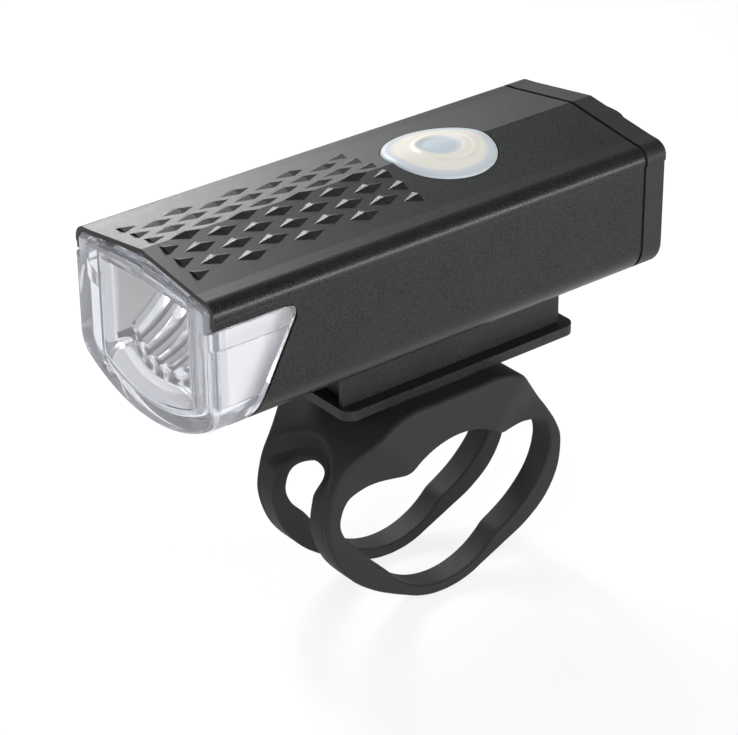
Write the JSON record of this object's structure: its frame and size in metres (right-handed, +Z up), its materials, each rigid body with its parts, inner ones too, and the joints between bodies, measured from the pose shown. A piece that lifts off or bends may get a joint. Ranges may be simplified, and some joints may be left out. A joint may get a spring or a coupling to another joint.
{
  "type": "bicycle headlight",
  "caption": "Rechargeable bicycle front light with a clear lens, top button, slide-off bracket and a rubber handlebar strap.",
  "frame": {"origin": "on the handlebar's axis, in the middle of the rubber strap", "axes": "+Z up, +X along the handlebar, -Y the way the beam leaves"},
  "size_m": [0.0352, 0.0898, 0.0746],
  "materials": {
    "anodised_shell": "satin black anodised",
    "black_plastic": "fine-grained black",
    "clear_plastic": "polished clear polycarbonate",
    "chrome_plating": "bright vacuum plating",
    "black_rubber": "matte black",
    "white_silicone": "translucent white",
    "led_yellow": "phosphor under a clear dome",
    "bare_aluminium": "milled",
    "cell_wrap": "shrink wrap",
    "inner_plastic": "moulded",
    "nickel": "bright strip",
    "circuit_board": "solder mask",
    "chips": "moulded",
    "red_wire": "insulation",
    "black_wire": "insulation",
    "steel_screw": "black-coated steel"
  },
  "bodies": {
    "bracket": {"handlebar_strap": "black_rubber", "strap_insert": "nickel", "bracket_base": "black_plastic", "bracket_screws": "steel_screw"},
    "light": {"body_shell": "anodised_shell", "lens": "clear_plastic", "lens_gasket": "black_rubber", "reflector": "chrome_plating", "led_emitter": "led_yellow", "led_board": "bare_aluminium", "heat_block": "bare_aluminium", "battery_cell": "cell_wrap", "battery_cradle": "inner_plastic", "battery_tab_plus": "nickel", "battery_tab_minus": "nickel", "main_board": "circuit_board", "board_components": "chips", "tact_switch": "chips", "indicator_leds": "led_yellow", "button_well": "inner_plastic", "usb_socket": "nickel", "led_lead_plus": "red_wire", "led_lead_minus": "black_wire", "rear_gasket": "black_rubber", "rear_cap": "black_plastic", "rear_cap_screws": "steel_screw", "cover_root": "black_rubber", "slide_foot": "black_plastic", "foot_screws": "steel_screw"},
    "button": {"button_cap": "white_silicone", "switch_stem": "inner_plastic"},
    "usb_cover": {"usb_cover": "black_rubber"},
    "release_tongue": {"release_tongue": "black_plastic"}
  },
  "joints": [
    {"name": "light_slide", "type": "slide", "parent": "bracket", "child": "light", "axis": [0, -1, 0], "range_m": [0, 0.046]},
    {"name": "release_press", "type": "hinge", "parent": "bracket", "child": "release_tongue", "pos_m": [0, 0.0066, 0.02245], "axis": [-1, 0, 0], "range_deg": [0, 5], "stiffness_Nm_per_rad": 0.08},
    {"name": "button_press", "type": "slide", "parent": "light", "child": "button", "axis": [0, 0, -1], "range_m": [0, 0.0005], "stiffness_N_per_m": 3000},
    {"name": "usb_cover_open", "type": "hinge", "parent": "light", "child": "usb_cover", "pos_m": [0, 0.03805, 0.049], "axis": [-1, 0, 0], "range_deg": [0, 90]}
  ]
}
